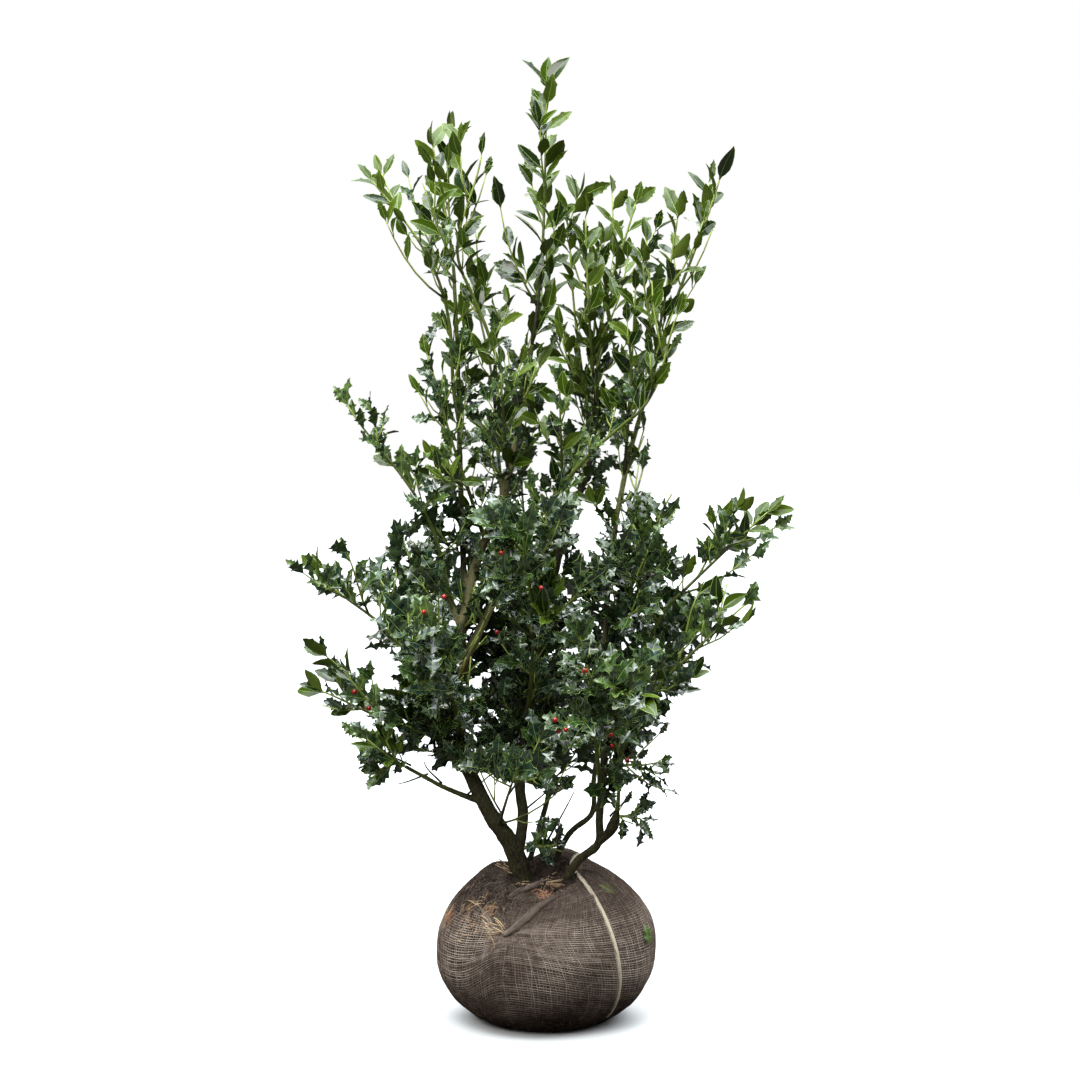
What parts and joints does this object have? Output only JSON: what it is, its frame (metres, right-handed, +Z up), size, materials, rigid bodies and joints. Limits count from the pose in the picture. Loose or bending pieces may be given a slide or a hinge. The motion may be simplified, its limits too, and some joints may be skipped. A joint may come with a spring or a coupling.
{
  "type": "holly shrub on a burlap root ball",
  "caption": "Young holly shrub with several stems, spiny dark leaves, bright upright shoots and a few red berries, standing on its burlap-wrapped root ball.",
  "frame": {"origin": "centre of the root ball's flat underside, where the shrub stands", "axes": "+Z up, +X to the right of the front view, -Y towards the viewer of the front view"},
  "size_m": [0.9247, 0.7709, 1.6849],
  "materials": {
    "burlap": "matte",
    "tie_band": "matte",
    "bark": "matte",
    "young_foliage": "satin",
    "mature_foliage": "satin"
  },
  "bodies": {
    "root": {"bough_back_left": "bark", "bough_back_right": "bark", "bough_front_left": "bark", "bough_front_long": "bark", "bough_front_mid": "bark", "bough_front_right": "bark", "bough_leader_left": "bark", "bough_left_high": "bark", "bough_left_low": "bark", "bough_left_mid": "bark", "bough_mid_left": "bark", "bough_mid_left_inner": "bark", "bough_right_foot": "bark", "bough_right_high": "bark", "bough_right_mid": "bark", "bough_upper_back": "bark", "bough_upper_back_left": "bark", "bough_upper_left": "bark", "bough_upper_left_outer": "bark", "foliage_back_left": "mature_foliage", "foliage_back_low": "mature_foliage", "foliage_back_right": "mature_foliage", "foliage_front_left": "mature_foliage", "foliage_front_low": "mature_foliage", "foliage_front_right": "mature_foliage", "foliage_front_right_high": "mature_foliage", "foliage_left_high": "mature_foliage", "foliage_left_low": "mature_foliage", "foliage_left_mid": "mature_foliage", "foliage_mid_back": "mature_foliage", "foliage_mid_centre": "mature_foliage", "foliage_mid_front": "mature_foliage", "foliage_mid_left_inner": "mature_foliage", "foliage_mid_left_outer": "mature_foliage", "foliage_mid_right": "mature_foliage", "foliage_mid_right_back": "mature_foliage", "foliage_right_foot": "mature_foliage", "foliage_right_high": "mature_foliage", "foliage_right_low": "mature_foliage", "foliage_right_mid": "mature_foliage", "root_ball": "burlap", "shoots_leader": "young_foliage", "shoots_upper_back": "young_foliage", "shoots_upper_back_left": "young_foliage", "shoots_upper_front": "young_foliage", "shoots_upper_left": "young_foliage", "shoots_upper_left_inner": "young_foliage", "shoots_upper_left_outer": "young_foliage", "shoots_upper_middle": "young_foliage", "shoots_upper_right_inner": "young_foliage", "shoots_upper_right_outer": "young_foliage", "stem_back": "bark", "stem_middle": "bark", "stem_right": "bark", "stem_right_back": "bark", "tie_band": "tie_band", "trunk": "bark"}
  },
  "joints": []
}
